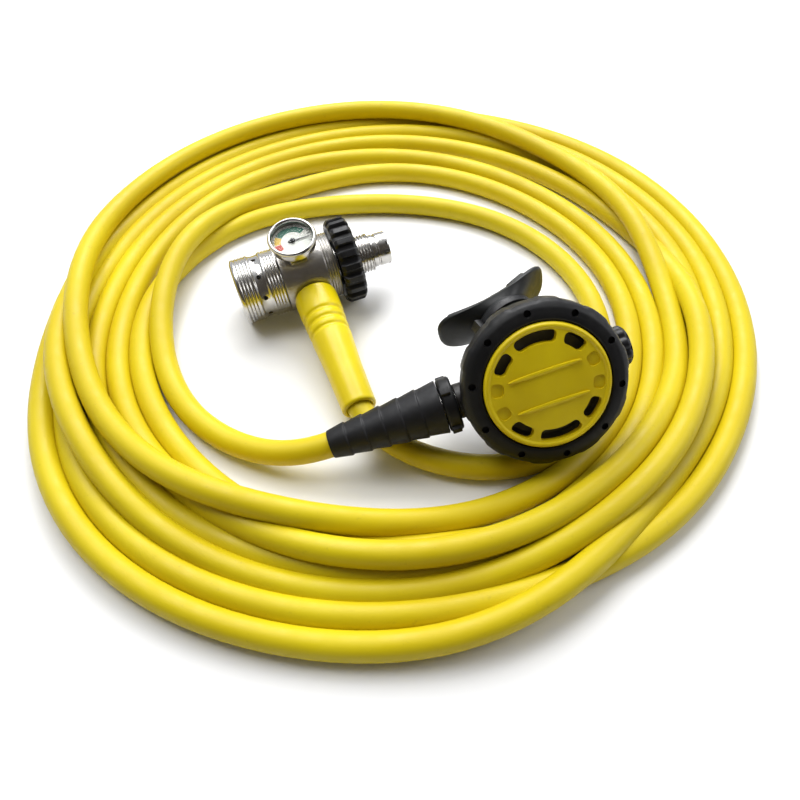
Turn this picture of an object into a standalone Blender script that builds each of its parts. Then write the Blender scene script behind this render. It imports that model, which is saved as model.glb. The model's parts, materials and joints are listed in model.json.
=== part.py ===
"""Scuba regulator set: a DIN first stage, a long coiled hose and a second stage.

Each sub-part is one named object. Lengths are in millimetres and angles in degrees; the
mesh functions turn them into metres. The set lies on the floor, z = 0, as it is laid out:
the two stages inside a loose coil of hose.
"""

import math

import bmesh
import bpy
from mathutils import Matrix, Vector

MM = 0.001
GAP = 0.3  # clearance between neighbouring pieces
STEPS = 24  # sides of a large turned piece
SMALL_STEPS = 14

# Layout on the floor. SET_CENTRE is the plan centre of the two stages.
SET_CENTRE = Vector((5.0, -42.0, 0.0))
FIRST_CAP_END = Vector((-94.2, -4.9, 18.95))
FIRST_HEADING = 19.9
SECOND_FACE = Vector((66.0, -100.5, 51.0))
SECOND_HEADING = 13.5
SECOND_RISE = 13.5
SECOND_TILT = 54.0

# First stage, measured along its axis from the end of the cap.
CAP_RADIUS = 19.0
CAP_WALL = 3.5
CAP_LENGTH = 26.0
WAIST_Z = 14.0
AMBIENT_HOLES = 9
BODY_END = 58.5
PORT_Z = 41.0
PORT_RADIUS = 4.6
GAUGE_Z = 38.0
PORT_DROP = 6.9  # how far below level the hose port points
GAUGE_LEAN = 11.0  # how far the gauge leans off upright, to the hose side
PLUG_ANGLES = (180.0, 130.0)
WHEEL_RADIUS = 25.0
WHEEL_START = 59.6
WHEEL_END = 71.8
WHEEL_GROOVES = 20
THREAD_RADIUS = 11.45  # G 5/8 thread
NOSE_END = 92.0
NOSE_RADIUS = 9.65

# Hose and its boots.
HOSE_RADIUS = 6.5
BORE_RADIUS = 2.6
YELLOW_BOOT_END = 100.4
FIRST_FERRULE_END = 44.0
COIL_CENTRE = Vector((-1.0, -4.0, 0.0))
COIL_OUTER_RADIUS = 208.0
COIL_INNER_RADIUS = 134.0
COIL_INNER_SHIFT = Vector((-5.0, -9.2))

# Second stage, in its own frame: +X to the knob, +Y to the mouthpiece, +Z out of the face.
RING_RADIUS = 38.5
COVER_RADIUS = 29.2
VALVE_DEPTH = -14.5
BARREL_RADIUS = 6.6
BARREL_BORE = 5.2
INLET_END = -57.5
BLACK_BOOT_START = -48.4
BLACK_BOOT_END = -104.5
SECOND_FERRULE_END = -80.0
MOUTH_START = Vector((0.0, 14.0, -20.0))
MOUTH_AXIS = Vector((-0.24, 0.62, -0.747)).normalized()
LEVER_PIVOT = Vector((-7.0, 0.0, -17.5))


def clear_scene():
    for obj in list(bpy.data.objects):
        bpy.data.objects.remove(obj, do_unlink=True)


def material(name, colour, roughness, metallic=0.0):
    mat = bpy.data.materials.get(name)
    if mat is None:
        mat = bpy.data.materials.new(name)
        mat.use_nodes = True
        shader = mat.node_tree.nodes["Principled BSDF"]
        shader.inputs["Base Color"].default_value = (*colour, 1.0)
        shader.inputs["Roughness"].default_value = roughness
        shader.inputs["Metallic"].default_value = metallic
    return mat


def chrome():
    return material("chrome", (0.72, 0.72, 0.70), 0.15, 1.0)


def satin_metal():
    return material("satin_metal", (0.62, 0.61, 0.58), 0.35, 1.0)


def brass():
    return material("brass", (0.72, 0.55, 0.25), 0.3, 1.0)


def steel():
    return material("steel", (0.55, 0.55, 0.56), 0.3, 1.0)


def black_plastic():
    return material("black_plastic", (0.02, 0.02, 0.022), 0.5)


def black_rubber():
    return material("black_rubber", (0.015, 0.015, 0.016), 0.65)


def yellow_rubber():
    return material("yellow_rubber", (0.78, 0.62, 0.02), 0.5)


def yellow_plastic():
    return material("yellow_plastic", (0.80, 0.62, 0.02), 0.4)


def white_plastic():
    return material("white_plastic", (0.85, 0.85, 0.82), 0.5)


def clear_plastic():
    return material("clear_plastic", (0.9, 0.95, 0.95), 0.05)


def silicone():
    return material("silicone", (0.10, 0.10, 0.11), 0.6)


def add_frame(name, matrix, parent=None):
    """An empty that carries pieces. The matrix is in millimetres, in the parent's frame."""
    frame = bpy.data.objects.new(name, None)
    bpy.context.scene.collection.objects.link(frame)
    frame.parent = parent
    local = matrix.copy()
    local.translation = matrix.translation * MM
    frame.matrix_local = local
    return frame


def basis(origin, x_axis, z_axis):
    """A matrix at origin whose Z is z_axis and whose X is as near x_axis as it can be."""
    z = z_axis.normalized()
    x = (x_axis - z * x_axis.dot(z)).normalized()
    y = z.cross(x)
    return Matrix.Translation(origin) @ Matrix((x, y, z)).transposed().to_4x4()


def finish_mesh(name, mesh_data, parent, mat, cutter=False):
    """Makes an object of a bmesh in millimetres, with its faces pointing out."""
    bmesh.ops.recalc_face_normals(mesh_data, faces=mesh_data.faces)
    bmesh.ops.scale(mesh_data, vec=(MM, MM, MM), verts=mesh_data.verts)
    mesh = bpy.data.meshes.new(name)
    mesh_data.to_mesh(mesh)
    mesh_data.free()
    mesh.shade_smooth()
    mesh.set_sharp_from_angle(angle=math.radians(35.0))
    obj = bpy.data.objects.new(name, mesh)
    bpy.context.scene.collection.objects.link(obj)
    obj.parent = parent
    if cutter:
        obj.hide_render = True
        obj.display_type = "WIRE"
    else:
        mesh.materials.append(mat)
    return obj


def turned_bmesh(profile, steps=STEPS, flute=None, turn=0.0):
    """A closed outline of (radius, height) points turned about Z.

    An outline that reaches the axis starts and ends on it. flute gives (count, inner radius):
    points outside that radius drop to it in the grooves.
    """
    shape = bmesh.new()
    rings = [point for point in profile if point[0] > 0]
    rows = []
    for radius, height in rings:
        row = []
        for k in range(steps):
            angle = math.radians(turn) + 2.0 * math.pi * k / steps
            reach = radius
            if flute and radius > flute[1] and k % (steps // flute[0]) < 2:
                reach = flute[1]
            row.append(shape.verts.new((reach * math.cos(angle), reach * math.sin(angle), height)))
        rows.append(row)
    solid = len(rings) < len(profile)
    for row, following in zip(rows, rows[1:] if solid else rows[1:] + rows[:1]):
        for k in range(steps):
            t = (k + 1) % steps
            shape.faces.new((row[k], row[t], following[t], following[k]))
    if solid:
        for row, ring, tip in ((rows[0], rings[0], profile[0]), (rows[-1], rings[-1], profile[-1])):
            if ring[1] == tip[1]:
                shape.faces.new(row)
                continue
            point = shape.verts.new((0.0, 0.0, tip[1]))
            for k in range(steps):
                shape.faces.new((row[k], row[(k + 1) % steps], point))
    return shape


def turned(name, profile, parent, mat, steps=STEPS, flute=None, turn=0.0, cutter=False):
    return finish_mesh(name, turned_bmesh(profile, steps, flute, turn), parent, mat, cutter)


def prism(name, outline, low, high, parent, mat, cutter=False):
    """A flat outline of (x, y) points raised from low to high along Z."""
    shape = bmesh.new()
    base = [shape.verts.new((x, y, low)) for x, y in outline]
    top = [shape.verts.new((x, y, high)) for x, y in outline]
    shape.faces.new(base)
    shape.faces.new(top)
    for k in range(len(outline)):
        following = (k + 1) % len(outline)
        shape.faces.new((base[k], base[following], top[following], top[k]))
    return finish_mesh(name, shape, parent, mat, cutter)


def rod(name, start, end, radius, parent, mat, steps=SMALL_STEPS, cutter=False):
    """A round bar from start to end."""
    reach = end - start
    place = basis(start, Vector((0.31, 0.83, 0.47)), reach)
    shape = turned_bmesh([(0, 0), (radius, 0), (radius, reach.length), (0, reach.length)], steps)
    bmesh.ops.transform(shape, matrix=place, verts=shape.verts)
    return finish_mesh(name, shape, parent, mat, cutter)


def swept(name, path, radius, sides, parent, mat):
    """A round bar that follows path, a list of vectors, closed at both ends."""
    shape = bmesh.new()
    rings = []
    side = Vector((0.13, 0.27, 0.95))
    for k, centre in enumerate(path):
        along = (path[min(k + 1, len(path) - 1)] - path[max(k - 1, 0)]).normalized()
        side = (side - along * side.dot(along)).normalized()
        other = along.cross(side)
        ring = []
        for s in range(sides):
            angle = 2.0 * math.pi * s / sides
            reach = side * math.cos(angle) + other * math.sin(angle)
            ring.append(shape.verts.new(centre + radius * reach))
        rings.append(ring)
    for ring, following in zip(rings, rings[1:]):
        for s in range(sides):
            t = (s + 1) % sides
            shape.faces.new((ring[s], ring[t], following[t], following[s]))
    shape.faces.new(rings[0])
    shape.faces.new(rings[-1])
    return finish_mesh(name, shape, parent, mat)


def spring(name, radius, wire, low, high, turns, parent, mat, per_turn=10):
    """A coil spring about Z between two heights of its wire's centre."""
    count = int(turns * per_turn)
    path = []
    for k in range(count + 1):
        angle = 2.0 * math.pi * turns * k / count
        height = low + (high - low) * k / count
        path.append(Vector((radius * math.cos(angle), radius * math.sin(angle), height)))
    return swept(name, path, wire, 5, parent, mat)


def combine(obj, other, operation):
    """Joins or cuts obj with other, a helper that stays out of the model."""
    other.hide_render = True
    other.display_type = "WIRE"
    modifier = obj.modifiers.new(other.name, "BOOLEAN")
    modifier.operation = operation
    modifier.object = other
    modifier.solver = "EXACT"


def cut(obj, *cutters):
    for cutter in cutters:
        combine(obj, cutter, "DIFFERENCE")


def join(obj, *others):
    for other in others:
        combine(obj, other, "UNION")


def o_ring(name, radius, height, section, parent, steps=SMALL_STEPS):
    profile = []
    for k in range(6):
        angle = math.pi * (k + 0.5) / 3
        profile.append((radius + section * math.cos(angle), height + section * math.sin(angle)))
    return turned(name, profile, parent, black_rubber(), steps)


def hex_piece(name, across, low, high, spigot, spigot_end, bore, parent, mat):
    """A hexagon from low to high with a round spigot down to spigot_end and a bore through."""
    corner = across / math.sqrt(3.0)
    profile = [(0, low), (corner, low), (corner, high), (0, high)]
    piece = turned(name, profile, parent, mat, steps=6)
    middle = 0.5 * (low + high)
    join(piece, rod(name + ".spigot", Vector((0, 0, spigot_end)), Vector((0, 0, middle)),
                    spigot, parent, mat, cutter=True))
    if bore:
        cut(piece, rod(name + ".bore", Vector((0, 0, spigot_end - 1)), Vector((0, 0, high + 1)),
                       bore, parent, mat, steps=12, cutter=True))
    return piece


# ---------------------------------------------------------------- first stage


def first_frames():
    """The first stage's frame, its gauge's and its hose port's. It lies on cap edge and wheel."""
    rise = math.atan((WHEEL_RADIUS - CAP_RADIUS) / (WHEEL_START + 1.5))
    heading = math.radians(FIRST_HEADING)
    axis = Vector((math.cos(rise) * math.cos(heading), math.cos(rise) * math.sin(heading), math.sin(rise)))
    level = Vector((math.sin(heading), -math.cos(heading), 0.0))
    upright = level.cross(axis)
    drop = math.radians(PORT_DROP)
    port = level * math.cos(drop) - upright * math.sin(drop)
    lean = math.radians(GAUGE_LEAN)
    gauge = level * math.sin(lean) + upright * math.cos(lean)
    origin = FIRST_CAP_END - SET_CENTRE
    first = add_frame("first_stage_frame", basis(origin, port, axis))
    to_local = basis(origin, port, axis).to_3x3().transposed()
    gauge_frame = add_frame(
        "gauge_frame", basis(Vector((0, 0, GAUGE_Z)), Vector((0, 0, 1)), to_local @ gauge), first)
    port_frame = add_frame(
        "hose_port_frame", basis(Vector((0, 0, PORT_Z)), Vector((0, 0, 1)), Vector((1, 0, 0))), first)
    return first, gauge_frame, port_frame


def build_first_body(first, gauge_frame, port_frame):
    cap = turned("piston_cap", [
        (0, 0), (16.8, 0), (CAP_RADIUS - 0.4, 0.9), (CAP_RADIUS, 2.4), (CAP_RADIUS, 10.2),
        (18.1, 11.2), (17.8, WAIST_Z), (18.1, 16.8), (CAP_RADIUS, 17.8), (CAP_RADIUS, CAP_LENGTH),
        (CAP_RADIUS - CAP_WALL, CAP_LENGTH), (CAP_RADIUS - CAP_WALL, 3.2), (0, 3.2)], first, chrome())
    for k in range(AMBIENT_HOLES):
        angle = 2.0 * math.pi * (k + 0.4) / AMBIENT_HOLES
        out = Vector((math.cos(angle), math.sin(angle), 0))
        up = Vector((0, 0, WAIST_Z))
        cut(cap, rod(f"ambient_hole.{k}", out * 14 + up, out * 20 + up, 1.25, first, None, 8, True))
    body = turned("first_stage_body", [
        (4.4, 21.5), (CAP_RADIUS - CAP_WALL - GAP, 21.5), (CAP_RADIUS - CAP_WALL - GAP, CAP_LENGTH + GAP),
        (CAP_RADIUS, CAP_LENGTH + GAP), (CAP_RADIUS, BODY_END - 0.6), (CAP_RADIUS - 0.6, BODY_END),
        (7.0, BODY_END), (7.0, 46.5), (4.4, 46.5)], first, satin_metal())
    inner, outer = Vector((0, 0, 9.5)), Vector((0, 0, 22))
    cut(body, rod("gauge_port", inner, outer, PORT_RADIUS, gauge_frame, None, 16, True))
    cut(body, rod("hose_port", inner, outer, PORT_RADIUS, port_frame, None, 16, True))
    for k, degrees in enumerate(PLUG_ANGLES):
        angle = math.radians(degrees)
        out = Vector((math.cos(angle), math.sin(angle), 0))
        place = basis(Vector((0, 0, PORT_Z)), Vector((0, 0, 1)), out)
        plug_frame = add_frame(f"plug_frame_{k + 1}", place, first)
        cut(body, rod(f"plug_port.{k}", inner, outer, PORT_RADIUS, plug_frame, None, 16, True))
        plug = turned(f"port_plug_{k + 1}", [
            (0, 11), (4.2, 11), (4.2, 19.3), (6.6, 19.3), (6.6, 21.0), (5.8, 21.8), (0, 21.8)],
            plug_frame, chrome(), SMALL_STEPS)
        socket = turned(f"plug_socket.{k}", [(0, 18.2), (2.5, 18.2), (2.5, 23), (0, 23)],
                        plug_frame, None, 6, cutter=True)
        cut(plug, socket)


def build_piston(first):
    turned("first_stage_piston", [
        (1.2, 5), (14.9, 5), (14.9, 5.9), (12.9, 5.9), (12.9, 8.1), (14.9, 8.1), (14.9, 9),
        (4.1, 9), (4.1, 50.2), (1.2, 50.2)], first, brass())
    o_ring("piston_o_ring", 14.15, 7.0, 0.9, first, STEPS)
    spring("main_spring", 9.5, 1.1, 10.5, 20.1, 3.5, first, steel(), per_turn=12)
    turned("high_pressure_seat", [(0, 51.5), (5.5, 51.5), (5.5, 52.7), (0, 52.7)], first,
           white_plastic(), SMALL_STEPS)


def build_din_connector(first):
    turned("din_stem", [
        (BORE_RADIUS, 53), (6.7, 53), (6.7, 58.8), (11.4, 58.8), (11.4, 60.8), (7.6, 60.8), (7.6, 81.5),
        (NOSE_RADIUS, 81.5), (NOSE_RADIUS, 91.4), (9.1, NOSE_END), (8.6, NOSE_END), (8.6, 89.6), (6.2, 89.6),
        (6.2, NOSE_END), (3.9, NOSE_END), (3.9, 84), (BORE_RADIUS, 84)], first, chrome(), 28)
    o_ring("din_o_ring", 7.4, 90.9, 0.95, first, 28)
    turned("din_filter", [(0, 84.3), (3.6, 84.3), (3.6, 87.5), (0, 88.5)], first, brass(), SMALL_STEPS)
    turned("filter_circlip", [(2.5, 88.8), (3.6, 88.8), (3.6, 89.6), (2.5, 89.6)], first, steel(),
           SMALL_STEPS)
    wheel_axis = add_frame("handwheel_axis", Matrix.Translation((0, 0, WHEEL_START)), first)
    rim = WHEEL_END - WHEEL_START
    turned("din_handwheel", [
        (12.2, 0), (23.2, 0), (WHEEL_RADIUS, 1.6), (WHEEL_RADIUS, rim - 1.6), (23.2, rim), (12.2, rim)],
        wheel_axis, black_plastic(), 4 * WHEEL_GROOVES, flute=(WHEEL_GROOVES, 23.4))
    turned("din_thread_sleeve", [
        (7.9, 1.5), (11.9, 1.5), (11.9, 12.3), (THREAD_RADIUS, 12.7), (THREAD_RADIUS, 21.0), (10.8, 21.6),
        (7.9, 21.6)], wheel_axis, chrome(), 28)


def build_gauge(gauge_frame):
    hex_piece("gauge_base", 14.0, 19.3, 24.0, 4.2, 11.0, 1.0, gauge_frame, chrome())
    turned("gauge_case", [
        (0, 24.3), (11.2, 24.3), (13.2, 26.2), (13.2, 31.2), (12.2, 31.2), (12.2, 25.5), (0, 25.5)],
        gauge_frame, chrome())
    turned("gauge_bezel", [
        (11.0, 31.5), (13.3, 31.5), (13.3, 32.6), (12.5, 33.4), (11.4, 33.1)], gauge_frame, chrome())
    turned("gauge_lens", [(0, 30.1), (11.9, 30.1), (11.9, 31.2), (0, 31.2)], gauge_frame, clear_plastic())
    turned("gauge_dial", [(0.9, 28.6), (11.9, 28.6), (11.9, 29.0), (0.9, 29.0)], gauge_frame, white_plastic())
    arc = [math.radians(9.0 * k) for k in range(31)]
    loop = [Vector((7.6 * math.cos(a), 7.6 * math.sin(a), 27.0)) for a in arc]
    swept("bourdon_tube", loop, 0.9, 8, gauge_frame, brass())
    needle_axis = add_frame("needle_axis", Matrix.Translation((0, 0, 29.4)), gauge_frame)
    needle = prism("gauge_needle", [(-2.6, -0.45), (9.6, -0.12), (9.6, 0.12), (-2.6, 0.45)], 0, 0.35,
                   needle_axis, black_plastic())
    join(needle, rod("gauge_needle.hub", Vector((0, 0, -1.2)), Vector((0, 0, 0.5)), 0.6, needle_axis,
                     None, 10, True))


def build_first_hose_end(port_frame):
    hex_piece("first_hose_fitting", 14.0, 19.5, 25.5, 4.2, 10.5, BORE_RADIUS, port_frame, chrome())
    turned("first_hose_ferrule", [
        (BORE_RADIUS, 25.8), (7.9, 25.8), (7.9, FIRST_FERRULE_END), (BORE_RADIUS, FIRST_FERRULE_END)],
        port_frame, steel(), SMALL_STEPS)
    end = YELLOW_BOOT_END
    turned("yellow_boot", [
        (8.8, 19.6), (10.9, 19.6), (11.9, 21.0), (12.2, 23.5), (12.2, 33.0), (11.6, 40.0), (9.9, 75.0),
        (9.3, end - 4), (9.3, end - 1), (8.6, end), (HOSE_RADIUS + GAP, end),
        (HOSE_RADIUS + GAP, FIRST_FERRULE_END + 0.6), (8.8, FIRST_FERRULE_END + 0.6)],
        port_frame, yellow_rubber())


# --------------------------------------------------------------- second stage


def second_frames():
    """The second stage's frame, and one whose Z runs back along the hose inlet."""
    turn = Matrix.Rotation(math.radians(SECOND_HEADING), 4, "Z")
    rise = Matrix.Rotation(math.radians(-SECOND_RISE), 4, "Y")
    tilt = Matrix.Rotation(math.radians(SECOND_TILT), 4, "X")
    face = add_frame("second_stage_frame", Matrix.Translation(SECOND_FACE - SET_CENTRE) @ turn @ rise @ tilt)
    valve = add_frame(
        "valve_frame", basis(Vector((0, 0, VALVE_DEPTH)), Vector((0, 0, 1)), Vector((1, 0, 0))), face)
    return face, valve


def build_case(face, valve):
    case = turned("second_stage_case", [
        (0, -26), (24, -26), (31, -22), (35, -14), (36, -8), (36, 0), (0, 0)], face, black_plastic(), 36)
    x = Vector((1, 0, 0))
    centre = Vector((0, 0, VALVE_DEPTH))
    outlet = MOUTH_START + MOUTH_AXIS * 20.0
    join(case,
         rod("case.inlet_boss", centre - x * 40.2, centre - x * 30, 8.6, face, None, 20, True),
         rod("case.knob_boss", centre + x * 30, centre + x * 38.5, 8.6, face, None, 20, True),
         rod("case.mouth_stub", MOUTH_START - MOUTH_AXIS * 2, outlet, 12.5, face, None, 20, True))
    hollow = turned("case.hollow", [
        (0, -24), (23, -24), (29.5, -20.5), (33, -13.7), (34, -8), (34, 1), (0, 1)],
                    face, None, 36, turn=3.7, cutter=True)
    cut(case, hollow,
        rod("case.inlet_bore", centre - x * 50, centre - x * 24.3, BARREL_RADIUS + GAP, face, None, 20, True),
        rod("case.knob_bore", centre + x * 24.1, centre + x * 50, BARREL_RADIUS + GAP, face, None, 20, True),
        rod("case.mouth_bore", MOUTH_START - MOUTH_AXIS * 4, outlet + MOUTH_AXIS, 10.5, face, None, 20, True),
        rod("case.exhaust_hole", Vector((0, -13, -20)), Vector((0, -13, -30)), 6.5, face, None, 16, True))


def build_cover(face):
    ring = turned("cover_ring", [
        (36.3, -5.2), (37.8, -5.5), (RING_RADIUS, -4.8), (RING_RADIUS, 3.6), (37.0, 5.8), (32.5, 6.8),
        (COVER_RADIUS + 0.4, 6.2), (COVER_RADIUS + 0.4, 1.5), (36.3, 1.5)], face, black_plastic(), 40)
    for k in range(10):
        angle = math.radians(18 + 36 * k)
        bottom = Vector((34.4 * math.cos(angle), 34.4 * math.sin(angle), 3.2))
        top = bottom + Vector((0, 0, 5.8))
        cut(ring, rod(f"ring_hole.{k}", bottom, top, 1.5, face, None, 8, True))
    cover_axis = add_frame("purge_axis", Matrix.Identity(4), face)
    cover = turned("purge_cover", [
        (0, 0.6), (6, 0.6), (6, 4.2), (28.4, 4.2), (COVER_RADIUS, 4.9), (COVER_RADIUS, 6.2), (27.4, 7.4),
        (18, 8.3), (0, 8.8)], cover_axis, yellow_plastic(), 36)
    for k, (middle, half) in enumerate(((90, 24), (270, 24), (44, 14), (136, 14), (224, 14), (316, 14))):
        cut(cover, arc_slot(f"cover_slot.{k}", 19.8, 25.8, middle, half, 2, 12, cover_axis))
    spring_path = []
    for k in range(37):
        angle = 2.0 * math.pi * 0.98 * k / 36
        wave = 2.8 + 0.6 * math.sin(4 * angle)
        spring_path.append(Vector((27.2 * math.cos(angle), 27.2 * math.sin(angle), wave)))
    swept("purge_spring", spring_path, 0.45, 5, face, steel())
    turned("diaphragm", [
        (18.3, -0.7), (24, -0.7), (26, -2.2), (29, -2.2), (30.6, 0.3), (35.8, 0.3), (35.8, 1.2),
        (30.0, 1.2), (28.4, -1.3), (26.6, -1.3), (24.6, 0.2), (18.3, 0.2)], face, silicone(), 28)
    plate_axis = add_frame("diaphragm_axis", Matrix.Identity(4), face)
    turned("diaphragm_plate", [(0, -1), (17.9, -1), (17.9, 0.2), (0, 0.2)], plate_axis, white_plastic())


def arc_slot(name, inner, outer, middle, half, low, high, parent, parts=6):
    """A cutter for a curved slot, given by two radii, its middle and its half span."""
    outline = []
    for radius, sign in ((outer, 1), (inner, -1)):
        for k in range(parts + 1):
            angle = math.radians(middle + sign * half * (2.0 * k / parts - 1.0))
            outline.append((radius * math.cos(angle), radius * math.sin(angle)))
    return prism(name, outline, low, high, parent, None, cutter=True)


def build_valve(face, valve):
    """The demand valve along the case's cross axis, and the lever that opens it."""
    barrel = turned("valve_barrel", [
        (BARREL_BORE, INLET_END), (BARREL_RADIUS, INLET_END), (BARREL_RADIUS, 36), (BARREL_BORE, 36)],
        valve, chrome(), 24)
    cut(barrel, prism("barrel.slot", [(0, -2.4), (9, -2.4), (9, 2.4), (0, 2.4)], -11, 7.5, valve, None,
                      cutter=True))
    turned("valve_orifice", [(2, -34), (4.9, -34), (4.9, -24.7), (2, -24.7)], valve, chrome(), SMALL_STEPS)
    poppet_axis = add_frame("poppet_axis", Matrix.Identity(4), valve)
    poppet = turned("poppet", [(0, -22.5), (3.5, -22.5), (3.5, -24), (4.8, -24), (4.8, 2), (0, 2)],
                    poppet_axis, white_plastic(), SMALL_STEPS)
    cut(poppet, prism("poppet.slot", [(-3.6, -1.9), (6, -1.9), (6, 1.9), (-3.6, 1.9)], -9.5, -4.2,
                      poppet_axis, None, cutter=True))
    turned("poppet_seat", [(0, -24.3), (3.2, -24.3), (3.2, -22.8), (0, -22.8)], poppet_axis,
           black_rubber(), SMALL_STEPS)
    spring("poppet_spring", 3.6, 0.5, 3.0, 11.6, 5, valve, steel())
    upright = Matrix.Rotation(math.pi / 2, 4, "X")
    lever_axis = add_frame("lever_axis", Matrix.Translation(LEVER_PIVOT) @ upright, face)
    side_view = [
        (-1.2, 0.2), (1.2, 0.2), (1.3, 7.7), (21.5, 14.2), (24.0, 15.0), (24.0, 16.0), (21.0, 16.0),
        (0.2, 9.6), (-1.3, 8.1)]
    prism("lever", side_view, -1.5, 1.5, lever_axis, steel())


def build_adjuster(valve):
    knob_axis = add_frame("knob_axis", Matrix.Identity(4), valve)
    turned("adjusting_knob", [
        (0, 22.5), (3.2, 22.5), (3.2, 38.9), (8.8, 39.2), (9.6, 40.1), (9.6, 43.2), (8.4, 44.6), (0, 45)],
        knob_axis, black_plastic(), 36, flute=(9, 9.1))
    o_ring("knob_o_ring", 4.15, 30.0, 0.6, knob_axis)
    turned("adjusting_screw", [(0, 12.6), (4.9, 12.6), (4.9, 22.2), (0, 22.2)], knob_axis, brass(),
           SMALL_STEPS)


def build_inlet(valve):
    """The swivel that joins the hose to the valve barrel, and the boot over it."""
    collar = turned("inlet_collar", [(6.9, -47.2), (12.4, -47.2), (13.4, -46), (13.4, -41.5), (12.6, -40.5),
                                     (6.9, -40.5)], valve, black_plastic(), 24)
    for k in range(4):
        angle = math.radians(45 + 90 * k)
        out = Vector((math.cos(angle), math.sin(angle), 0))
        place = basis(Vector((0, 0, -46.4)), out, Vector((0, 0, 1)))
        tab = prism(f"collar_tab.{k}", [(11, -2.2), (15, -1.8), (15, 1.8), (11, 2.2)], 0, 4.2, valve,
                    None, True)
        tab.matrix_local = Matrix.Translation(place.translation * MM) @ place.to_3x3().to_4x4()
        join(collar, tab)
    nut_corner = 17.0 / math.sqrt(3.0)
    nut = turned("swivel_nut", [(0, -61.5), (nut_corner, -61.5), (nut_corner, -49), (0, -49)], valve,
                 chrome(), 6)
    cut(nut, rod("nut.bore", Vector((0, 0, -64)), Vector((0, 0, -46)), 6.9, valve, None, 24, True))
    turned("second_hose_fitting", [
        (BORE_RADIUS, SECOND_FERRULE_END), (7.9, SECOND_FERRULE_END), (7.9, -62.2), (6.3, -61.8),
        (6.3, -57.9), (4.9, -57.9), (4.9, -51.4), (3.6, -51.4), (3.6, -48.8), (4.9, -48.8), (4.9, -47),
        (BORE_RADIUS, -47)],
        valve, chrome(), 24)
    o_ring("swivel_o_ring", 4.5, -50.1, 0.65, valve)
    steps = 6
    start, end = BLACK_BOOT_START, BLACK_BOOT_END
    outer = []
    for k in range(steps):
        low = start + (end - start) * k / steps
        high = start + (end - start) * (k + 1) / steps
        wide = 13.0 - (13.0 - 8.6) * k / (steps - 1)
        outer += [(wide, low - 0.2), (wide - 1.0, high + 0.2)]
    mouth = SECOND_FERRULE_END - 0.6
    inner = [(HOSE_RADIUS + GAP, end), (HOSE_RADIUS + GAP, mouth), (8.3, mouth), (8.3, -62.6),
             (10.2, -62.6), (10.2, start)]
    turned("black_boot", outer + inner, valve, black_rubber(), 20)


def build_exhaust(face):
    exhaust = add_frame("exhaust_frame", Matrix.Translation((0, -13, -26)), face)
    turned("exhaust_valve", [
        (0, -1.6), (7.7, -1.3), (7.9, -0.6), (1.3, -0.5), (1.3, 3.2), (2.0, 3.8), (1.0, 5.6), (0, 5.6)],
        exhaust, silicone(), 16)
    tee = prism("exhaust_tee", [
        (-22, -13), (-14, -16.5), (14, -16.5), (22, -13), (22, 2), (12, 10.5), (-12, 10.5), (-22, 2)],
        -7.8, -0.3, exhaust, black_rubber())
    chamber = prism("tee.chamber", [
        (-25, -10), (-12, -13.5), (12, -13.5), (25, -10), (25, 0), (10, 0), (10.2, 8.2), (-10.2, 8.2),
        (-10, 0), (-25, 0)], -6.2, 1.0, exhaust, None, cutter=True)
    cut(tee, chamber)


def build_mouthpiece(face):
    frame = add_frame("mouthpiece_frame", basis(MOUTH_START, Vector((1, 0, 0)), MOUTH_AXIS), face)
    tube = turned("mouthpiece", [
        (0, 13.8), (14.6, 13.8), (14.6, 19.5), (13.4, 21.5), (12.4, 24.5), (12.4, 31), (0, 31)],
        frame, black_rubber(), 20)
    flange = prism("mouthpiece.flange", rounded_box(57, 24, 9), 24, 28, frame, None, cutter=True)
    lobes = []
    for side in (-1, 1):
        lobe = prism(f"mouthpiece.lobe.{side}", rounded_box(13, 15, 4), 27, 38, frame, None, cutter=True)
        lobe.location.x = side * 17 * MM
        lobes.append(lobe)
    join(tube, flange, *lobes)
    cut(tube, turned("mouthpiece.bore", [
        (0, 11), (12.8, 11), (12.8, 20.4), (9.4, 22), (9.4, 33), (0, 33)], frame, None, 20, cutter=True))
    turned("mouthpiece_clamp", [(14.9, 14.8), (16.1, 14.8), (16.1, 17.8), (14.9, 17.8)], frame,
           black_plastic(), 20)


def rounded_box(width, height, radius, parts=4):
    """A rectangle's outline with round corners."""
    outline = []
    for quarter, (sx, sy) in enumerate(((1, 1), (-1, 1), (-1, -1), (1, -1))):
        cx, cy = sx * (width / 2 - radius), sy * (height / 2 - radius)
        for k in range(parts + 1):
            angle = math.pi / 2 * (quarter + k / parts)
            outline.append((cx + radius * math.cos(angle), cy + radius * math.sin(angle)))
    return outline


# ----------------------------------------------------------------------- hose


def smooth_path(points, spacing=30.0):
    """A smooth curve through the route's points, read about every spacing millimetres."""
    ends = [points[0] * 2 - points[1]] + points + [points[-1] * 2 - points[-2]]
    path = []
    for p0, p1, p2, p3 in zip(ends, ends[1:], ends[2:], ends[3:]):
        count = max(1, round((p2 - p1).length / spacing))
        for k in range(count):
            t = k / count
            path.append(0.5 * (2 * p1 + (p2 - p0) * t + (2 * p0 - 5 * p1 + 4 * p2 - p3) * t * t
                               + (3 * p1 - p0 - 3 * p2 + p3) * t ** 3))
    return path + [points[-1]]


def hose_tube(name, route):
    curve = bpy.data.curves.new(name, "CURVE")
    curve.dimensions = "3D"
    curve.bevel_depth = HOSE_RADIUS * MM
    curve.bevel_resolution = 3
    curve.use_fill_caps = True
    path = smooth_path(route)
    spline = curve.splines.new("POLY")
    spline.points.add(len(path) - 1)
    for point, place in zip(spline.points, path):
        point.co = (*(place * MM), 1.0)
    curve.materials.append(yellow_rubber())
    obj = bpy.data.objects.new(name, curve)
    bpy.context.scene.collection.objects.link(obj)
    return obj


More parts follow.
